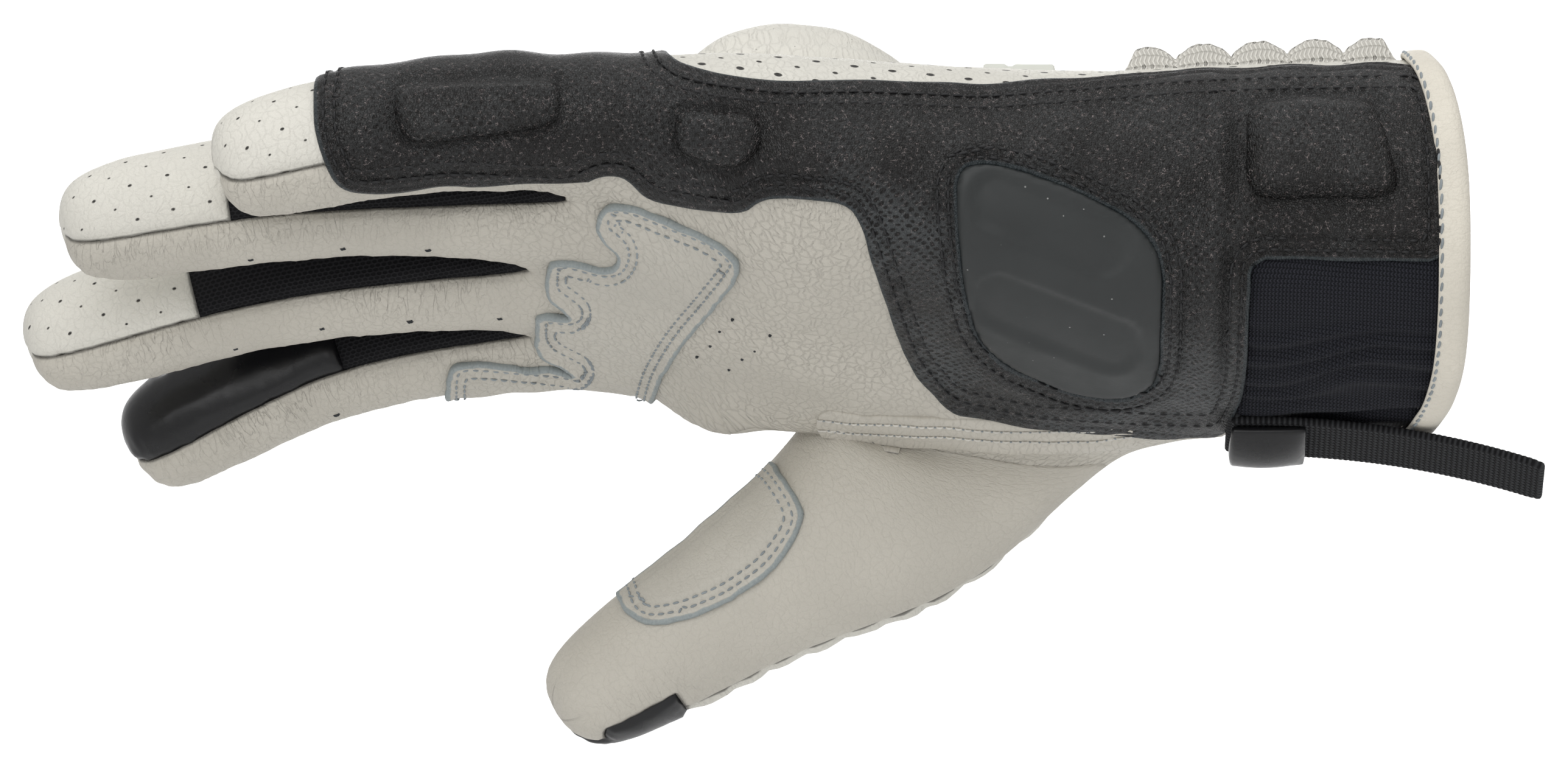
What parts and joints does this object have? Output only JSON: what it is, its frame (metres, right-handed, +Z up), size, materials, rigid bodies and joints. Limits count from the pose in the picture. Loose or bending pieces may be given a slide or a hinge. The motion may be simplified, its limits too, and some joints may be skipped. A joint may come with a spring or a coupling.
{
  "type": "motorcycle glove",
  "caption": "Short-cuff leather riding glove with perforated back, knuckle guard, padded edge panel with a slider plate, mesh finger sides and a webbing closure strap.",
  "frame": {"origin": "middle of the wrist opening, where the wrist goes in", "axes": "-X towards the fingertips and +X out of the wrist opening, -Y towards the little finger, +Z up out of the back of the hand, which is rolled about X towards the little finger"},
  "size_m": [0.2583, 0.0956, 0.1233],
  "materials": {
    "white_leather": "off-white goat leather with a fine pebble grain",
    "perforated_leather": "off-white leather with rows of small punched holes",
    "patch_leather": "off-white leather with a raw bluish-grey suede edge",
    "black_leather": "black leather with an embossed net texture",
    "touch_leather": "smooth glossy black leather",
    "black_mesh": "black open mesh",
    "stretch_fabric": "black ribbed stretch fabric",
    "grey_plate": "matt grey moulded plate",
    "binding_leather": "cream binding leather",
    "white_rubber": "white moulded rubber",
    "white_knit": "white ribbed stretch knit",
    "black_webbing": "black cross-ribbed webbing"
  },
  "bodies": {
    "root": {"back_leather": "perforated_leather", "palm_leather": "white_leather", "thumb_leather": "white_leather", "thumb_back": "perforated_leather", "fourchette_little_ring": "black_mesh", "fourchette_ring_middle": "black_mesh", "fourchette_middle_index": "black_mesh", "index_touch_tip": "touch_leather", "thumb_touch_tip": "touch_leather", "cuff_back": "perforated_leather", "cuff_gusset": "stretch_fabric", "edge_panel": "black_leather", "finger_pad_long": "black_leather", "finger_pad_short": "black_leather", "cuff_pad": "black_leather", "edge_slider": "grey_plate", "knuckle_guard": "perforated_leather", "back_tab": "white_rubber", "wrist_ribs": "white_knit", "palm_patch": "patch_leather", "thumb_patch": "patch_leather", "cuff_binding": "binding_leather", "closure_strap": "black_webbing", "strap_tab": "touch_leather"}
  },
  "joints": []
}
